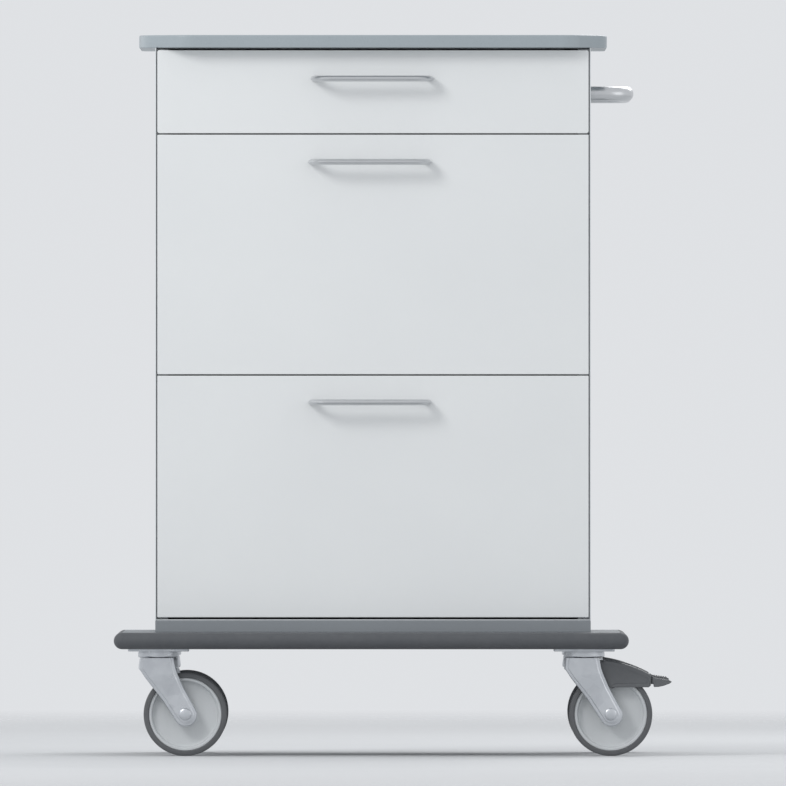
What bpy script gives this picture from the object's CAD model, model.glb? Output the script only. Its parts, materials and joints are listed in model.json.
"""Looks of the instrument cart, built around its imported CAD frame. Metres, +Z up, front towards -Y."""

import json
import math

import bmesh
import bpy
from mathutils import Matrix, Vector


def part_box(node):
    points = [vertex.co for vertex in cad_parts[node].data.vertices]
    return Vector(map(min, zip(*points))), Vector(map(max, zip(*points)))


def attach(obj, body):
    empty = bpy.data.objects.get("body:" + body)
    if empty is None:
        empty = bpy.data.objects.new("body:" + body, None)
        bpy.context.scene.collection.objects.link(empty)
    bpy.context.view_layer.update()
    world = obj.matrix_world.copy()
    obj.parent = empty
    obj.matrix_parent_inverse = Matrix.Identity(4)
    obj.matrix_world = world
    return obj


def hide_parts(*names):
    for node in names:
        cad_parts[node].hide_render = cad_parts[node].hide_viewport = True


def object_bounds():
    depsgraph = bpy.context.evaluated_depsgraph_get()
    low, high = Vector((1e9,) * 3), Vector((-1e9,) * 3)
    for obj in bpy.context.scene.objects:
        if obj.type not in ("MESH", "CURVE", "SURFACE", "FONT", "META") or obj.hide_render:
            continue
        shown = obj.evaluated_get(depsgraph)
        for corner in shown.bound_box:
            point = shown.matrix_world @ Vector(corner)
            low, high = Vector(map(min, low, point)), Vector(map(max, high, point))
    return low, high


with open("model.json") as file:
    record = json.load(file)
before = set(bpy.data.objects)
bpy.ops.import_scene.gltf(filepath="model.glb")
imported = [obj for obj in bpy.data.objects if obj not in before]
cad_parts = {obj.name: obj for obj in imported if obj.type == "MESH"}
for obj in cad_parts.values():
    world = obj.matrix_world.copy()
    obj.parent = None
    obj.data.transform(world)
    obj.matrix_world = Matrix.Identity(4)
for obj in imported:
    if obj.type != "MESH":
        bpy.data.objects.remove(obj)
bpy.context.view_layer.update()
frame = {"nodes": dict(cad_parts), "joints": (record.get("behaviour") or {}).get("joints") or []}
NODES = frame["nodes"]
JOINTS = {j["name"]: j for j in frame["joints"]}
MM = 0.001
DRAWERS = ("lower_drawer", "middle_drawer", "upper_drawer")
CASTERS = ("front_left", "front_right", "rear_left", "rear_right")
BRAKED = ("front_right", "rear_right")


# ---- Mesh building ----

def loft(rings, closed=False):
    """Faces through rings of equally many points. A closed loft joins its last ring to its first."""
    n, count = len(rings[0]), len(rings)
    verts = [tuple(p) for ring in rings for p in ring]
    faces = []
    for i in range(count if closed else count - 1):
        j = (i + 1) % count
        faces += [(i * n + k, i * n + (k + 1) % n, j * n + (k + 1) % n, j * n + k) for k in range(n)]
    if not closed:
        faces += [tuple(range(n)), tuple((count - 1) * n + k for k in range(n))]
    return verts, faces


def moved(part, change):
    """A part with each vertex passed through change."""
    return [tuple(change(*v)) for v in part[0]], part[1]


def shifted(part, x, y, z):
    """A part moved by that much."""
    return moved(part, lambda u, v, w: (u + x, v + y, w + z))


def about_y(part):
    """A part built about Z, or as an outline in plan, stood up to face along Y."""
    return moved(part, lambda u, v, w: (u, w, v))


def inset(outline, distance):
    """A counter-clockwise outline moved inwards along its corners' bisectors."""
    result = []
    for i, here in enumerate(outline):
        before, after = Vector(outline[i - 1]), Vector(outline[(i + 1) % len(outline)])
        a = (Vector(here) - before).normalized()
        b = (after - Vector(here)).normalized()
        na, nb = Vector((-a.y, a.x)), Vector((-b.y, b.x))
        bisector = (na + nb).normalized()
        result.append(Vector(here) + bisector * distance / max(bisector.dot(na), 0.3))
    return result


def slab(outline, low, high, r_low, r_high, steps=5):
    """Plate with that outline between two heights, its lower and upper edges rounded."""
    rings = []
    for i in range(steps + 1):
        a = math.radians(90 * i / steps)
        height = low + r_low * (1 - math.cos(a))
        rings.append([(p.x, p.y, height) for p in inset(outline, r_low * (1 - math.sin(a)))])
    for i in range(steps + 1):
        a = math.radians(90 * i / steps)
        height = high - r_high * (1 - math.sin(a))
        rings.append([(p.x, p.y, height) for p in inset(outline, r_high * (1 - math.cos(a)))])
    return loft(rings)


def blended(corners, steps=10):
    """Counter-clockwise outline with a round blend at each convex corner (x, y, radius)."""
    points = []
    for i, (x, y, r) in enumerate(corners):
        here = Vector((x, y))
        if r <= 0:
            points.append(here)
            continue
        a = (Vector(corners[i - 1][:2]) - here).normalized()
        b = (Vector(corners[(i + 1) % len(corners)][:2]) - here).normalized()
        half = a.angle(b) / 2
        centre = here + (a + b).normalized() * r / math.sin(half)
        start = here + a * r / math.tan(half) - centre
        turn = math.pi - 2 * half
        for k in range(steps + 1):
            t = turn * k / steps
            c, s = math.cos(t), math.sin(t)
            points.append(centre + Vector((start.x * c - start.y * s, start.x * s + start.y * c)))
    return points


def rectangle(low, high, r, steps=8):
    """Counter-clockwise rectangle with every corner rounded."""
    return blended([(low[0], low[1], r), (high[0], low[1], r), (high[0], high[1], r),
                    (low[0], high[1], r)], steps)


def turned(profile, start=0.0, sweep=360.0, steps=96):
    """Solid of revolution about Z from a closed profile of (radius, height)."""
    full = sweep >= 360
    rings = []
    for i in range(steps if full else steps + 1):
        a = math.radians(start + sweep * i / steps)
        rings.append([(r * math.cos(a), r * math.sin(a), h) for r, h in profile])
    return loft(rings, closed=full)


def swept(section, path):
    """Section of (sideways, up) points carried along a level path of (x, y, z) points."""
    rings = []
    for i, p in enumerate(path):
        before, after = Vector(path[max(i - 1, 0)]), Vector(path[min(i + 1, len(path) - 1)])
        along = (after - before).normalized()
        side = Vector((along.y, -along.x, 0))
        rings.append([Vector(p) + side * u + Vector((0, 0, v)) for u, v in section])
    return loft(rings)


def u_path(base, out, half_span, r, z, steps=16):
    """Level path from (base, -half_span) out to `out`, along it and back, with bends of radius r."""
    path = [(base, -half_span, z)]
    for side in (-1, 1):
        for i in range(steps + 1):
            a = math.radians(90 * i / steps)
            along, across = (math.sin(a), math.cos(a)) if side < 0 else (math.cos(a), math.sin(a))
            path.append((out - r + r * along, side * (half_span - r + r * across), z))
    return path + [(base, half_span, z)]


def disc(r, segments, start=0.0):
    """Points round a circle, counter-clockwise."""
    return [(r * math.cos(start + 2 * math.pi * i / segments),
             r * math.sin(start + 2 * math.pi * i / segments)) for i in range(segments)]


def flatten_shading(obj):
    """Keeps the light even over large flat faces beside rounded edges."""
    normals = obj.modifiers.new("normals", "WEIGHTED_NORMAL")
    normals.keep_sharp = True
    normals.weight = 100


def piece(name, parts, material, body, replaces=(), sharp=32):
    """One named piece from several closed parts, riding on a body."""
    verts, faces = [], []
    for part_verts, part_faces in parts:
        base = len(verts)
        verts += part_verts
        faces += [tuple(base + i for i in f) for f in part_faces]
    mesh = bpy.data.meshes.new(name)
    mesh.from_pydata(verts, [], faces)
    bm = bmesh.new()
    bm.from_mesh(mesh)
    bmesh.ops.remove_doubles(bm, verts=bm.verts, dist=1e-7)
    bmesh.ops.dissolve_degenerate(bm, edges=bm.edges, dist=1e-8)
    bmesh.ops.recalc_face_normals(bm, faces=bm.faces)
    bm.to_mesh(mesh)
    bm.free()
    mesh.polygons.foreach_set("use_smooth", [True] * len(mesh.polygons))
    mesh.set_sharp_from_angle(angle=math.radians(sharp))
    mesh.materials.append(material)
    obj = bpy.data.objects.new(name, mesh)
    bpy.context.scene.collection.objects.link(obj)
    flatten_shading(obj)
    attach(obj, body)
    if replaces:
        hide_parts(*replaces)
    return obj


def dress(node, material, bevel=0.0, segments=3):
    """Gives a CAD node its material, and rounds its edges."""
    obj = NODES[node]
    obj.data.materials.clear()
    obj.data.materials.append(material)
    if bevel > 0:
        weld = obj.modifiers.new("weld", "WELD")
        weld.merge_threshold = 1e-5
        edge = obj.modifiers.new("edges", "BEVEL")
        edge.width = bevel
        edge.segments = segments
        edge.limit_method = "ANGLE"
        edge.angle_limit = math.radians(35)
        edge.use_clamp_overlap = True
        flatten_shading(obj)
    return obj


# ---- Materials ----

class Shader:
    """A Principled material with a few helpers for procedural detail, in object space."""

    def __init__(self, name, colour, roughness, metallic=0.0, **inputs):
        self.material = bpy.data.materials.new(name)
        self.material.use_nodes = True
        self.tree = self.material.node_tree
        self.bsdf = self.tree.nodes["Principled BSDF"]
        self.colour = colour
        self.place = self.new("ShaderNodeTexCoord").outputs["Object"]
        self.bsdf.inputs["Base Color"].default_value = (*colour, 1)
        self.bsdf.inputs["Roughness"].default_value = roughness
        self.bsdf.inputs["Metallic"].default_value = metallic
        for key, value in inputs.items():
            self.bsdf.inputs[key.replace("_", " ")].default_value = value
        self.height = None

    def new(self, kind, **settings):
        node = self.tree.nodes.new(kind)
        for key, value in settings.items():
            setattr(node, key, value)
        return node

    def link(self, a, b):
        self.tree.links.new(a, b)

    def stretched(self, scale):
        mapping = self.new("ShaderNodeMapping")
        mapping.inputs["Scale"].default_value = scale
        self.link(self.place, mapping.inputs["Vector"])
        return mapping.outputs["Vector"]

    def noise(self, scale, detail=3.0, stretch=(1, 1, 1), roughness=0.55):
        node = self.new("ShaderNodeTexNoise")
        node.inputs["Scale"].default_value = scale
        node.inputs["Detail"].default_value = detail
        node.inputs["Roughness"].default_value = roughness
        self.link(self.stretched(stretch), node.inputs["Vector"])
        return node.outputs["Fac"]

    def cells(self, scale, output="Distance"):
        node = self.new("ShaderNodeTexVoronoi")
        node.inputs["Scale"].default_value = scale
        self.link(self.place, node.inputs["Vector"])
        return node.outputs[output]

    def ramp(self, value, low, high, start=0.3, end=0.7):
        node = self.new("ShaderNodeMapRange")
        node.inputs["From Min"].default_value = start
        node.inputs["From Max"].default_value = end
        node.inputs["To Min"].default_value = low
        node.inputs["To Max"].default_value = high
        self.link(value, node.inputs["Value"])
        return node.outputs["Result"]

    def tint(self, value, colour, amount, start=0.3, end=0.7):
        """Mixes another colour into the base colour where value is high."""
        mix = self.new("ShaderNodeMix", data_type="RGBA")
        self.link(self.ramp(value, 0.0, amount, start, end), mix.inputs[0])
        base = self.bsdf.inputs["Base Color"]
        if base.is_linked:
            self.link(base.links[0].from_socket, mix.inputs[6])
        else:
            mix.inputs[6].default_value = (*self.colour, 1)
        mix.inputs[7].default_value = (*colour, 1)
        self.link(mix.outputs[2], base)

    def rough(self, value, low, high, start=0.3, end=0.7):
        self.link(self.ramp(value, low, high, start, end), self.bsdf.inputs["Roughness"])

    def bump(self, value, depth, strength=1.0):
        """Adds relief of that depth, in metres."""
        node = self.new("ShaderNodeBump")
        node.inputs["Strength"].default_value = strength
        node.inputs["Distance"].default_value = depth
        self.link(value, node.inputs["Height"])
        if self.height is not None:
            self.link(self.height, node.inputs["Normal"])
        self.height = node.outputs["Normal"]
        self.link(self.height, self.bsdf.inputs["Normal"])


def powder_coat(name, colour, shade):
    s = Shader(name, colour, 0.42, Coat_Weight=0.12, Coat_Roughness=0.25)
    s.tint(s.noise(3.2, 4), shade, 0.5)
    s.tint(s.noise(140, 3), shade, 0.25)
    s.rough(s.noise(60, 4), 0.36, 0.5)
    s.bump(s.noise(620, 2), 0.00006, 0.5)
    return s.material


def moulded(name, colour, shade, grain=900, depth=0.00008, roughness=(0.42, 0.56)):
    s = Shader(name, colour, 0.5)
    s.tint(s.noise(4.5, 3), shade, 0.45)
    s.tint(s.noise(420, 2), shade, 0.2)
    s.rough(s.noise(35, 4), *roughness)
    s.bump(s.cells(grain), depth, 0.6)
    return s.material


def laminate(name, colour, dark, light):
    s = Shader(name, colour, 0.38, Coat_Weight=0.15, Coat_Roughness=0.2)
    s.tint(s.noise(6, 4), dark, 0.12)
    s.tint(s.cells(430), dark, 0.65, 0.20, 0.06)
    s.tint(s.cells(760), light, 0.7, 0.18, 0.05)
    s.rough(s.noise(24, 4), 0.32, 0.46)
    s.bump(s.noise(900, 2), 0.00003, 0.4)
    return s.material


def brushed(name, colour, stretch, roughness=(0.24, 0.38)):
    s = Shader(name, colour, 0.3, 1.0)
    grain = s.noise(1.0, 4, stretch, 0.7)
    s.tint(grain, (0.5, 0.51, 0.52), 0.45)
    s.tint(s.noise(9, 3), (0.62, 0.63, 0.65), 0.35)
    s.rough(grain, *roughness)
    s.bump(grain, 0.00002, 0.5)
    return s.material


def zinc_plate(name, colour, spangle=70, amount=0.35, roughness=(0.26, 0.42)):
    s = Shader(name, colour, 0.34, 0.92)
    s.tint(s.cells(spangle, output="Color"), (0.44, 0.46, 0.49), amount, 0.2, 0.9)
    s.tint(s.noise(45, 4), (0.74, 0.76, 0.78), 0.35)
    s.rough(s.noise(80, 4), *roughness)
    s.bump(s.noise(380, 3), 0.00004, 0.45)
    return s.material


def rubber(name, colour, dust, grain=700):
    s = Shader(name, colour, 0.62, Sheen_Weight=0.08)
    s.tint(s.noise(22, 5), dust, 0.16, 0.3, 0.8)
    s.rough(s.noise(90, 3), 0.55, 0.74)
    s.bump(s.noise(grain, 3), 0.00012, 0.55)
    return s.material


WHITE_STEEL = powder_coat("cabinet_powder_coat", (0.62, 0.645, 0.655), (0.57, 0.595, 0.61))
FRONT = moulded("drawer_front_moulding", (0.76, 0.775, 0.775), (0.715, 0.73, 0.735), 1500, 0.00003,
                (0.34, 0.46))
GREY_STEEL = powder_coat("drawer_powder_coat", (0.44, 0.465, 0.48), (0.39, 0.415, 0.43))
TOP = laminate("worktop_laminate", (0.34, 0.385, 0.41), (0.15, 0.18, 0.20), (0.62, 0.66, 0.68))
BASE = moulded("base_moulding", (0.25, 0.268, 0.285), (0.21, 0.226, 0.242), 760, 0.0001)
BUMPER = rubber("bumper_rubber", (0.075, 0.08, 0.088), (0.15, 0.155, 0.16))
STEEL_X = brushed("stainless_brushed_across", (0.66, 0.67, 0.68), (14, 2600, 2600))
STEEL_Y = brushed("stainless_brushed_along", (0.66, 0.67, 0.68), (2600, 14, 2600))
ZINC = zinc_plate("zinc_plate", (0.60, 0.62, 0.65))
SLIDE_ZINC = zinc_plate("slide_zinc", (0.64, 0.66, 0.68), 30, 0.2, (0.22, 0.34))
GALVANISED = zinc_plate("galvanised", (0.50, 0.52, 0.54), 45, 0.6, (0.36, 0.52))
PEDAL = powder_coat("pedal_coat", (0.085, 0.09, 0.098), (0.14, 0.145, 0.15))
CORE = moulded("wheel_centre", (0.60, 0.62, 0.63), (0.52, 0.54, 0.55), 1100, 0.00005)
TYRE = rubber("tyre_rubber", (0.10, 0.104, 0.11), (0.20, 0.20, 0.20), 900)


# ---- Cabinet, worktop and base ----

def extent(node):
    """Low corner, high corner and centre of a node's box."""
    low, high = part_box(node)
    return low, high, (low + high) / 2


def upright_slab(node, r_corner, r_front, r_back, steps=6):
    """Panel as wide and high as a node, with its front and back edges rounded."""
    low, high, _ = extent(node)
    outline = rectangle((low.x, low.z), (high.x, high.z), r_corner, steps)
    return about_y(slab(outline, low.y, high.y, r_front, r_back))


# Each front corner of the worktop: angle of its slanted edge, straight length of it, and blend radius
WORKTOP_CORNERS = {"left": (math.radians(38.7), 38.4 * MM, 52 * MM),
                   "right": (math.radians(49.1), 39.7 * MM, 43 * MM)}
WORKTOP_BACK_R = 20 * MM


def build_worktop():
    low, high, _ = extent("worktop")

    def front_corner(side, x):
        angle, slant, r = WORKTOP_CORNERS[side]
        length = slant + r * math.tan(angle / 2) + r * math.tan((math.pi / 2 - angle) / 2)
        inward = -1 if side == "right" else 1
        return ((x + inward * length * math.cos(angle), low.y, r), (x, low.y + length * math.sin(angle), r))

    left, right = front_corner("left", low.x), front_corner("right", high.x)
    outline = blended([left[0], right[0], right[1], (high.x, high.y, WORKTOP_BACK_R),
                       (low.x, high.y, WORKTOP_BACK_R), left[1]], 14)
    piece("worktop_slab", [slab(outline, low.z, high.z, 1.2 * MM, 2.4 * MM)], TOP, "cart",
          ["worktop"])


def build_bumper():
    low, high, centre = extent("base_bumper")
    r = (high.z - low.z) / 2
    inner = 0.2 * MM
    half = [(r * math.sin(math.radians(a)), -r * math.cos(math.radians(a))) for a in range(0, 181, 9)]
    profile = [(-inner, -r), *half, (-inner, r)]
    outline = rectangle((low.x + r, low.y + r), (high.x - r, high.y - r), 0.4 * MM, 10)
    rings = []
    for out, up in profile:
        rings.append([(p.x, p.y, centre.z + up) for p in inset(outline, -out)])
    piece("base_bumper_strip", [loft(rings, closed=True)], BUMPER, "cart", ["base_bumper"])


def build_push_handle():
    low, high, centre = extent("push_handle")
    r = (high.z - low.z) / 2
    path = u_path(low.x, high.x - r, high.y - r - centre.y, 35 * MM, centre.z, 20)
    piece("push_handle_tube", [swept(disc(r, 40), path)], STEEL_Y, "cart", ["push_handle"])


def pan_head(r, height, steps=6):
    """Screw head about Z, standing on Z = 0, with a round recess."""
    dome = []
    for i in range(steps):
        a = math.radians(90 * i / steps)
        dome.append((r * math.cos(a), height * (0.25 + 0.75 * math.sin(a))))
    recess = [(0.35 * r, height), (0.2 * r, 0.35 * height), (0, 0.3 * height)]
    return turned([(0, 0), (r, 0), *dome, *recess], steps=24)


def facing_back(part, x, y, z):
    """A part built about Z put at a place, with its Z towards +Y."""
    return moved(part, lambda u, v, w: (x + u, y + w, z - v))


def build_back_screws():
    low, high, centre = extent("back_panel")
    margin, rows = 12 * MM, 5
    columns = (low.x + margin, centre.x, high.x - margin)
    levels = [low.z + margin + (high.z - low.z - 2 * margin) * i / (rows - 1) for i in range(rows)]
    places = [(x, z) for x in columns for z in levels if x != centre.x or z in (levels[0], levels[-1])]
    head = pan_head(4 * MM, 1.8 * MM)
    screws = [facing_back(head, x, high.y, z) for x, z in places]
    piece("back_panel_screws", screws, ZINC, "cart")


def build_cabinet():
    build_back_screws()
    for node in ("side_left", "side_right", "back_panel", "top_panel", "bottom_panel"):
        dress(node, WHITE_STEEL, 0.4 * MM, 2)
    dress("plinth", BASE, 1.0 * MM)
    dress("base_deck", BASE, 1.0 * MM)
    for node in ("uprights_left", "uprights_right"):
        dress(node, GALVANISED, 0.5 * MM, 2)
    dress("push_handle_nuts", ZINC, 0.5 * MM)
    dress("caster_bolts", ZINC, 0.6 * MM)


# ---- Drawers ----

FRONT_RADII = {"lower_drawer": 1.5 * MM, "middle_drawer": 1.5 * MM, "upper_drawer": 3.5 * MM}
BOW_DEPTH = 14 * MM
BOW_BEND_R = 21 * MM
BOX_WALL = 1.5 * MM
BUFFER_R, BUFFER_HEIGHT = 5 * MM, 1.6 * MM
BUFFER_SIDE, BUFFER_END = 8 * MM, 20 * MM


def lens(depth, height, steps=12):
    """Pointed section, crests left and right."""
    r = ((depth / 2) ** 2 + (height / 2) ** 2) / height
    half = math.asin(depth / 2 / r)
    top = [(r * math.sin(-half + 2 * half * i / steps), r * math.cos(-half + 2 * half * i / steps)
            - (r - height / 2)) for i in range(steps + 1)]
    return top + [(-x, -y) for x, y in top[1:-1]]


def build_bow(drawer):
    """Bow handle and the two screws that hold it from inside the drawer."""
    low, high, centre = extent(f"{drawer}_handle")
    reach = (high.x - low.x - BOW_DEPTH) / 2
    path = u_path(0, high.y - low.y - BOW_DEPTH / 2, reach, BOW_BEND_R, 0, 16)
    bow = moved(swept(lens(BOW_DEPTH, high.z - low.z), path),
                lambda u, v, w: (centre.x + v, high.y - u, centre.z + w))
    piece(f"{drawer}_bow", [bow], STEEL_X, drawer, [f"{drawer}_handle"], 50)
    behind_box_wall = centre.z < extent(f"{drawer}_box")[1].z
    wall_y = extent(f"{drawer}_front")[1].y + (BOX_WALL if behind_box_wall else 0)
    head = pan_head(3.4 * MM, 1.6 * MM)
    screws = [facing_back(head, centre.x + side * reach, wall_y, centre.z) for side in (-1, 1)]
    piece(f"{drawer}_handle_screws", screws, ZINC, drawer)


def build_buffers(drawer):
    """Small pads at the corners of a drawer front's back."""
    low, high, centre = extent(f"{drawer}_front")
    pad = turned([(0, 0), (BUFFER_R, 0), (BUFFER_R, 1.1 * MM), (4.2 * MM, BUFFER_HEIGHT), (0, BUFFER_HEIGHT)],
                 steps=24)
    pad_x = high.x - centre.x - BUFFER_SIDE
    pads = [facing_back(pad, centre.x + side * pad_x, high.y, z) for side in (-1, 1)
            for z in (low.z + BUFFER_END, high.z - BUFFER_END)]
    piece(f"{drawer}_buffers", pads, BUMPER, drawer)


def build_drawer(drawer):
    front = upright_slab(f"{drawer}_front", FRONT_RADII[drawer], 1.1 * MM, 0.6 * MM)
    piece(f"{drawer}_front_panel", [front], FRONT, drawer, [f"{drawer}_front"])
    build_bow(drawer)
    build_buffers(drawer)
    dress(f"{drawer}_box", GREY_STEEL, 0.5 * MM, 2)
    for member in ("outer", "middle", "inner"):
        dress(f"{drawer}_slide_{member}", SLIDE_ZINC, 0.4 * MM, 2)


# ---- Casters: drawn in millimetres from the wheel's axle, wheel trailing towards +X ----

# How far the wheel trails its kingpin
TRAIL = 40
# Half profile of the wheel's centre, from its bore round one face to the rim: radius, distance sideways
CORE_HALF = ((5.05, -20.6), (11, -20.6), (13, -19), (14.5, -12), (17, -6), (24, -4.6), (44, -4.6),
             (48.5, -7), (50.2, -12.6), (51.5, -13.6), (54, -13.6), (55, -12.6))
# Start of the tyre's half profile, from its inner face to the shoulder
TYRE_WALL = ((55, -15.2), (55.8, -16), (58.9, -16), (59.6, -15.6))
TYRE_SHOULDER, TYRE_SHOULDER_R = (59.9, -13), 2.6
WHEEL_R = 62.5


def mirrored(half):
    """A half profile followed by its mirror image across the wheel's middle plane."""
    return [*half, *((r, -h) for r, h in reversed(half))]


def caster_frame(caster):
    """Function that takes millimetres from a caster's axle to the frame."""
    x, y, z = JOINTS[f"{caster}_wheel_spin"]["pos_m"]
    return lambda u, v, w: (x + u * MM, y + v * MM, z + w * MM)


def build_wheel(caster):
    to_frame = caster_frame(caster)
    core = moved(about_y(turned(mirrored(CORE_HALF), steps=128)), to_frame)
    piece(f"{caster}_wheel_core", [core], CORE, f"{caster}_roller", [f"{caster}_wheel"])
    half = list(TYRE_WALL)
    for i in range(15, 91, 15):
        a = math.radians(i)
        half.append((TYRE_SHOULDER[0] + TYRE_SHOULDER_R * math.sin(a),
                     TYRE_SHOULDER[1] - TYRE_SHOULDER_R * math.cos(a)))
    half.append((WHEEL_R, -6))
    tread = moved(about_y(turned(mirrored(half), steps=144)), to_frame)
    piece(f"{caster}_tread", [tread], TYRE, f"{caster}_roller", [f"{caster}_tyre"])


def between(a, b, t):
    """Point or values part of the way from a to b."""
    return tuple(p + (q - p) * t for p, q in zip(a, b))


# Stations of a fork arm from the crown down: left edge, right edge, outer face, and the ridge between
# the edges as its share of the width and its height
ARM = (((-67.5, 84.6), (-17.1, 84.6), 30.2, 0.33, 0.9), ((-69.0, 68.5), (-14.2, 70.0), 30.2, 0.40, 0.9),
       ((-59.4, 54.1), (-11.6, 62.0), 30.0, 0.476, 0.9), ((-33.9, 20.8), (-2.2, 40.2), 25.5, 0.48, 0.0),
       ((-13.9, -10.1), (15.4, 7.7), 25.5, 0.5, 0.0))
ARM_THICKNESS = 4.5
# Rounded edge and flat band along both sides of an arm: distance from the edge, depth under the face
ARM_BAND = ((0.0, 3.4), (0.25, 2.4), (0.9, 1.6), (1.9, 1.2), (4.6, 1.1), (5.1, 0.8), (5.7, 0.2), (6.3, 0.0))


def arm_stations(between_each=4, round_end=10):
    """ARM with stations added between its own, and more round the end that holds the axle."""
    fine = []
    for a, b in zip(ARM, ARM[1:]):
        for k in range(between_each):
            t = k / between_each
            fine.append((between(a[0], b[0], t), between(a[1], b[1], t), *between(a[2:], b[2:], t)))
    fine.append(ARM[-1])
    left, right, outer, share, ridge = ARM[-1]
    mid = Vector(between(left, right, 0.5))
    half = (Vector(right) - Vector(left)) / 2
    down = Vector((half.y, -half.x))
    for i in range(1, round_end):
        a = math.radians(90 * i / (round_end - 0.7))
        centre = mid + down * math.sin(a)
        reach = half * math.cos(a)
        fine.append((tuple(centre - reach), tuple(centre + reach), outer, share, ridge))
    return fine


def band_depth(distance):
    """Depth under an arm's face at a distance from its edge."""
    for (d0, h0), (d1, h1) in zip(ARM_BAND, ARM_BAND[1:]):
        if distance <= d1:
            return h0 + (h1 - h0) * max(distance - d0, 0) / (d1 - d0)
    return 0.0


def fork_arm(side):
    """One pressed fork arm with rounded edge bands that also run round its end, and a shallow ridge."""
    end_left, end_right = Vector(ARM[-1][0]), Vector(ARM[-1][1])
    end_mid, end_half = (end_left + end_right) / 2, (end_right - end_left) / 2
    down = Vector((end_half.y, -end_half.x)).normalized()
    rings = []
    for left, right, outer, share, ridge in arm_stations():
        width = (Vector(right) - Vector(left)).length
        near = [distance * min(1.0, 0.45 * width / ARM_BAND[-1][0]) / width for distance, _ in ARM_BAND]
        middle = [(near[-1] + share) / 2, share, (1 - near[-1] + share) / 2]
        across = near + middle + [1 - t for t in reversed(near)]
        ring = [(*left, outer - ARM_THICKNESS)]
        for t in across:
            point = Vector(between(left, right, t))
            from_end = end_half.length - (point - end_mid).length
            distance = from_end if (point - end_mid).dot(down) > 0 else min(t, 1 - t) * width
            ring.append((*point, outer - band_depth(distance) + (ridge if t == share else 0.0)))
        ring.append((*right, outer - ARM_THICKNESS))
        rings.append([(x, side * y, z) for x, z, y in ring])
    return loft(rings)


def build_fork(caster):
    """Crown turned about the kingpin, open on the pedal's side where there is one, with two arms."""
    to_frame = caster_frame(caster)
    top, bottom, r, wall = 84.7, 67.2, 30.3, 3.0
    shoulder = r - 1.5
    fillet = [(shoulder - 3 + 3 * math.sin(math.radians(a)), top - 3 + 3 * math.cos(math.radians(a)))
              for a in range(0, 91, 15)]
    gap = 41.5 if caster in BRAKED else 0
    skirt = [(shoulder - wall, top - wall), (shoulder - wall - 1, top), *fillet, (r, bottom + 3.4),
             (r - 0.4, bottom + 1.2), (r - 1.4, bottom), (r - wall, bottom)]
    lid = [(6.05, top - wall), (6.05, top), *fillet[:4], (shoulder - 0.6, top - wall)]
    parts = [turned(skirt, gap, 360 - 2 * gap, 96), turned(lid, steps=96)]
    parts = [shifted(p, -TRAIL, 0, 0) for p in parts] + [fork_arm(-1), fork_arm(1)]
    piece(f"{caster}_fork_pressing", [moved(p, to_frame) for p in parts], ZINC, f"{caster}_swivel",
          [f"{caster}_fork"], 28)


def build_axle(caster):
    """Axle bolt with a round cap on its front end, and a hexagonal nut and washer on the other."""
    to_frame = caster_frame(caster)
    face, cap = ARM[-1][2], 4.0
    dome = [(9.2 * math.cos(math.radians(a)), face + 1.6 + (cap - 1.6) * math.sin(math.radians(a)))
            for a in range(0, 91, 15)]
    head = turned([(0, face), (9.2, face), *dome], steps=48)
    shank = turned([(0, -30.5), (4.4, -30.5), (5, -29.8), (5, face + 1), (0, face + 1)], steps=40)
    nut = loft([[(x, y, z) for x, y in disc(9.0, 6, math.radians(30))] for z in (-face - cap, -face - 0.9)])
    washer = turned([(5, -face - 1), (10, -face - 1), (10, -face), (5, -face)], steps=48)
    parts = [moved(about_y(p), lambda u, v, w: (u, -v, w)) for p in (head, shank, nut, washer)]
    piece(f"{caster}_axle_bolt", [moved(p, to_frame) for p in parts], ZINC, f"{caster}_swivel",
          [f"{caster}_axle"])


def build_plate(caster):
    """Top plate and the bearing housing under it."""
    to_frame = caster_frame(caster)
    plate = slab(rectangle((-46, -35), (46, 35), 5.5), 94.5, 98.0, 1.4, 0.2)
    r, edge = 30.8, 2.2
    shell = [(6, 85.2)]
    shell += [(r - edge + edge * math.sin(math.radians(a)), 85.2 + edge - edge * math.cos(math.radians(a)))
              for a in range(0, 91, 15)]
    shell += [(r, 92.4), (r - 0.7, 92.7), (r - 0.7, 94.6), (6, 94.6)]
    parts = [shifted(p, -TRAIL, 0, 0) for p in (plate, turned(shell, steps=96))]
    piece(f"{caster}_top_plate", [moved(p, to_frame) for p in parts], ZINC, "cart", [f"{caster}_plate"])
    dress(f"{caster}_kingpin", ZINC, 0.5 * MM)


# Pedal: its top is an arc over the tyre, about this centre, and its sides are cheeks with a hem at the foot
ARC_CENTRE, ARC_R = Vector((-38, -123.7)), 208.0
CHEEK_DROP = 3.4
CHEEK_REAR = ((-14, 78.2), (-26, 77), (-29.5, 74), (-27, 65), (-20, 60.5))
CHEEK_LOW = ((-8, 50), (-3, 41), (0, 38.6), (3, 38.8), (7, 40.6), (57, 40.6), (60, 43), (60.6, 47))
HEM = ((4, 40), (7, 40.6), (57, 40.6), (58.5, 42.2), (58.5, 44.8), (57, 46.4), (8, 46.4), (4.6, 45.2),
       (2.2, 42.6), (1.6, 40.4))
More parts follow.
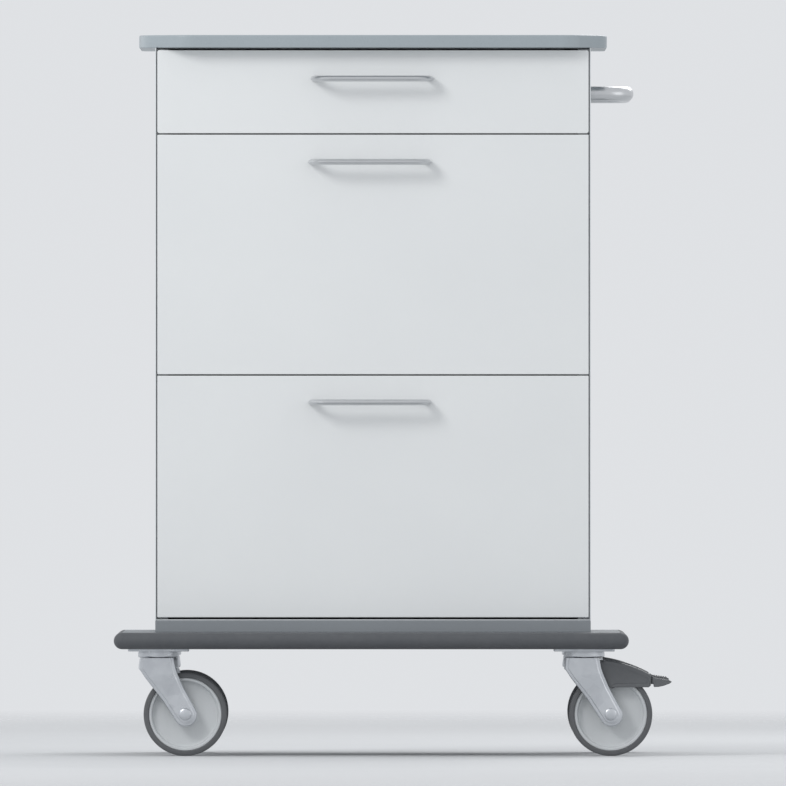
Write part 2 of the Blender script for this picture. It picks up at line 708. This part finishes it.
# Section of the top band: half width, how far its edges hang, their radius, the underside's half width,
# and the sheet's thickness
BAND_HALF, BAND_HANG, BAND_EDGE, BAND_UNDER, BAND_SHEET = 19.6, 6.8, 3.0, 17.4, 2.6
BAND_START, BAND_END = -9.0, 58.0
FOOT = ((65, 41), (72, 41.2), (80, 43), (88, 46), (91, 48.0), (91.3, 49.6), (88, 51.4), (80, 52.6),
        (72, 53.6), (66, 55.4), (62.5, 57.6), (62.2, 54))
FOOT_HALF = 21.5
SHOE = ((24, 65.5), (36, 64), (36, 69), (24, 72))
SHOE_HALF = 12
RIBS, RIB_START, RIB_PITCH, RIB_TOP, RIB_FALL = 6, 69.5, 3.4, 54.0, 0.14


def points(outline):
    """Pairs as vectors."""
    return [Vector(p) for p in outline]


def arc_height(x, r=ARC_R):
    """Height of an arc about the pedal's centre."""
    return ARC_CENTRE.y + math.sqrt(r ** 2 - (x - ARC_CENTRE.x) ** 2)


def pedal_cheeks():
    """Both side plates, each with a thicker hem along its lower edge."""
    xs = [60 - 69 * i / 16 for i in range(17)]
    cheek = [Vector((x, arc_height(x, ARC_R - CHEEK_DROP))) for x in xs] + points(CHEEK_REAR + CHEEK_LOW)
    parts = []
    for side in (-1, 1):
        for outline, inner, outer, edge in ((cheek, 17.5, 18.9, 0.3), (points(HEM), 18.4, 20.4, 1.2)):
            plate = slab(outline, inner, outer, 0.2, edge, 4)
            parts.append(moved(plate, lambda u, v, w, s=side: (u, s * w, v)))
    return parts


def pedal_band(steps=24, bend_steps=8, bend_r=8.0):
    """Sheet over the top, bent down at its end to meet the foot."""
    edge_y = BAND_HALF - BAND_EDGE
    section = [(-BAND_HALF, -BAND_HANG), (-BAND_HALF, -BAND_EDGE)]
    for i in range(15, 91, 15):
        a = math.radians(i)
        section.append((-edge_y - BAND_EDGE * math.cos(a), -BAND_EDGE + BAND_EDGE * math.sin(a)))
    section += [(-y, d) for y, d in reversed(section)]
    section += [(BAND_UNDER, -BAND_HANG), (BAND_UNDER, -BAND_SHEET), (-BAND_UNDER, -BAND_SHEET),
                (-BAND_UNDER, -BAND_HANG)]
    spine = []
    for i in range(steps + 1):
        x = BAND_START + (BAND_END - BAND_START) * i / steps
        point = Vector((x, arc_height(x)))
        spine.append((point, (point - ARC_CENTRE).normalized()))
    end, out = spine[-1]
    start, hub = math.atan2(out.y, out.x), end - out * bend_r
    for i in range(1, bend_steps + 1):
        a = start - math.radians(72) * i / bend_steps
        out = Vector((math.cos(a), math.sin(a)))
        spine.append((hub + out * bend_r, out))
    spine.append((spine[-1][0] + Vector((-1.4, -7.0)), spine[-1][1]))
    return loft([[(p.x + out.x * d, y, p.y + out.y * d) for y, d in section] for p, out in spine])


def pedal_foot():
    """Foot plate with small ribs across its top."""
    rib = about_y(turned([(0, -17), (0.9, -17), (1.1, -16.6), (1.1, 16.6), (0.9, 17), (0, 17)], steps=20))
    parts = [about_y(slab(points(FOOT), -FOOT_HALF, FOOT_HALF, 1.6, 1.6, 4))]
    for k in range(RIBS):
        along = RIB_PITCH * k
        parts.append(shifted(rib, RIB_START + along, 0, RIB_TOP - RIB_FALL * along))
    return parts


def build_pedal(caster):
    to_frame = caster_frame(caster)
    shoe = about_y(slab(points(SHOE), -SHOE_HALF, SHOE_HALF, 0.6, 0.6, 3))
    parts = [*pedal_cheeks(), pedal_band(), *pedal_foot(), shoe]
    piece(f"{caster}_brake_lever", [moved(p, to_frame) for p in parts], PEDAL, f"{caster}_brake",
          [f"{caster}_brake_pedal"], 35)
    dress(f"{caster}_brake_pin", ZINC, 0.4 * MM)


# ---- Stage ----

# Width of the view at the front of the object, and the point that the camera looks straight at
PICTURE_W = 1.179
CAMERA_X, CAMERA_Z = 0.0003, 0.545
LENS, SENSOR = 1500.0, 36.0
FLOOR_R = 7.0
LIGHT_TARGET = Vector((0, 0, 0.6))
# Name, place, size and power of each lamp
LIGHTS = (("key", (-2.4, -2.6, 2.9), 1.2, 58), ("fill", (2.8, -1.6, 1.2), 2.0, 7),
          ("back", (1.2, 2.8, 2.6), 1.4, 34), ("rim", (-2.8, 1.4, 1.4), 1.6, 7))


def add_camera(scene):
    """Very long lens, so that the view is nearly parallel."""
    low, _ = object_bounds()
    camera = bpy.data.objects.new("camera", bpy.data.cameras.new("camera"))
    camera.data.lens, camera.data.sensor_width = LENS, SENSOR
    camera.data.clip_end = 200
    camera.location = (CAMERA_X, low.y - PICTURE_W * LENS / SENSOR, CAMERA_Z)
    camera.rotation_euler = (math.radians(90), 0, 0)
    scene.collection.objects.link(camera)
    scene.camera = camera


def floor_material():
    """Pale floor that fades out towards its edge."""
    s = Shader("pale_floor", (0.60, 0.61, 0.62), 0.7)
    s.tint(s.noise(1.5, 3), (0.57, 0.58, 0.59), 0.3)
    clear = s.new("ShaderNodeBsdfTransparent")
    mix = s.new("ShaderNodeMixShader")
    gradient = s.new("ShaderNodeTexGradient", gradient_type="SPHERICAL")
    s.link(s.stretched((1 / FLOOR_R,) * 3), gradient.inputs["Vector"])
    s.link(s.ramp(gradient.outputs["Fac"], 0.0, 1.0, 0.02, 0.72), mix.inputs[0])
    s.link(clear.outputs[0], mix.inputs[1])
    s.link(s.bsdf.outputs[0], mix.inputs[2])
    s.link(mix.outputs[0], s.tree.nodes["Material Output"].inputs["Surface"])
    return s.material


def add_floor(scene, count=96):
    mesh = bpy.data.meshes.new("floor")
    mesh.from_pydata([(x, y, 0) for x, y in disc(FLOOR_R, count)], [], [tuple(range(count))])
    mesh.materials.append(floor_material())
    floor = bpy.data.objects.new("floor", mesh)
    scene.collection.objects.link(floor)


def add_lights(scene):
    world = bpy.data.worlds.new("soft_white")
    world.use_nodes = True
    background = world.node_tree.nodes["Background"]
    background.inputs["Color"].default_value = (0.95, 0.97, 1.0, 1)
    background.inputs["Strength"].default_value = 0.78
    scene.world = world
    for name, place, size, power in LIGHTS:
        lamp = bpy.data.lights.new(name, "AREA")
        lamp.energy, lamp.size = power, size
        light = bpy.data.objects.new(name, lamp)
        light.location = place
        light.rotation_mode = "QUATERNION"
        light.rotation_quaternion = (LIGHT_TARGET - Vector(place)).to_track_quat("-Z", "Y")
        scene.collection.objects.link(light)


def build_stage():
    scene = bpy.context.scene
    scene.view_settings.view_transform = "Standard"
    add_camera(scene)
    add_floor(scene)
    add_lights(scene)


build_worktop()
build_bumper()
build_push_handle()
build_cabinet()
for name in DRAWERS:
    build_drawer(name)
for name in CASTERS:
    build_wheel(name)
    build_fork(name)
    build_axle(name)
    build_plate(name)
for name in BRAKED:
    build_pedal(name)
build_stage()
